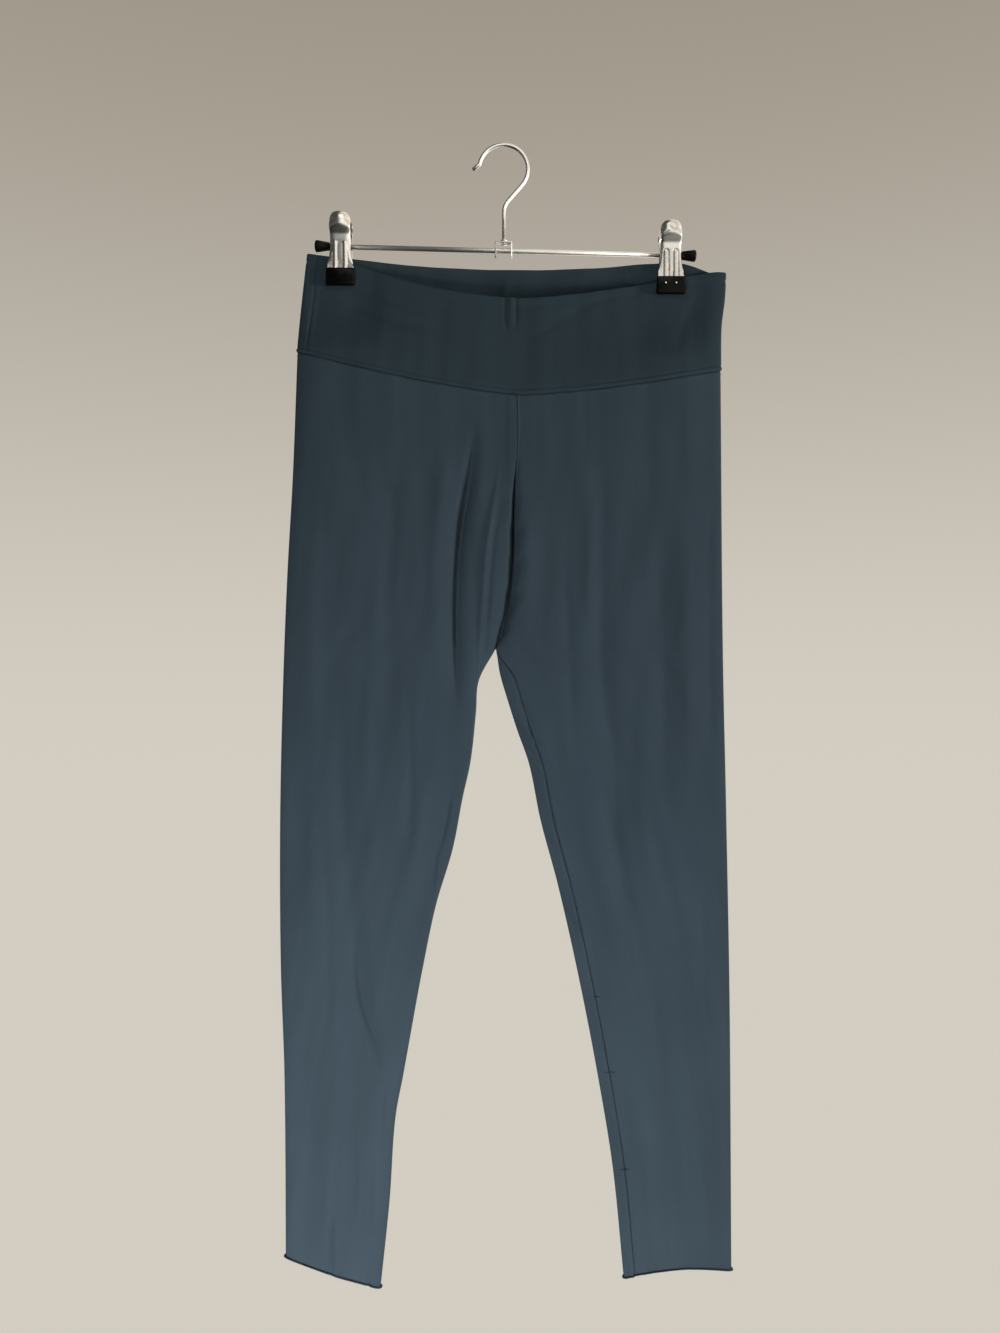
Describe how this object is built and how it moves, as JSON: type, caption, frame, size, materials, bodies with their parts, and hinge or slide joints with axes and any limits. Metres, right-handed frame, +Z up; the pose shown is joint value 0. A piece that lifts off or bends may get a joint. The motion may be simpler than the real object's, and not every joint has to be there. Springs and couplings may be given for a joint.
{
  "type": "leggings on a clip hanger",
  "caption": "Full-length fitted leggings with a wide folded waistband and raw-cut hems, hung flat by two spring clips from a wire-hook bar hanger.",
  "frame": {"origin": "inside top of the hanger's hook, where it rests on what holds it up", "axes": "+Z up, the garment's front faces -Y, +X towards the wearer's left"},
  "size_m": [0.4061, 0.0295, 1.0306],
  "materials": {
    "cloth": "matte fine cotton-elastane jersey, slate blue",
    "chrome": "polished chrome plate",
    "clip_steel": "bright plated pressed steel",
    "black_plastic": "glossy black plastic",
    "jaw_rubber": "smooth black rubber"
  },
  "bodies": {
    "root": {"waistband_front": "cloth", "waistband_back": "cloth", "leg_right": "cloth", "leg_left": "cloth", "hanger_bar": "chrome", "hanger_hook": "chrome", "hook_saddle": "chrome", "bar_cap_right": "black_plastic", "bar_cap_left": "black_plastic", "clip_right_front_plate": "clip_steel", "clip_right_front_jaw": "jaw_rubber", "clip_right_back_plate": "clip_steel", "clip_right_back_jaw": "jaw_rubber", "clip_right_spring": "clip_steel", "clip_left_front_plate": "clip_steel", "clip_left_front_jaw": "jaw_rubber", "clip_left_back_plate": "clip_steel", "clip_left_back_jaw": "jaw_rubber", "clip_left_spring": "clip_steel"}
  },
  "joints": []
}
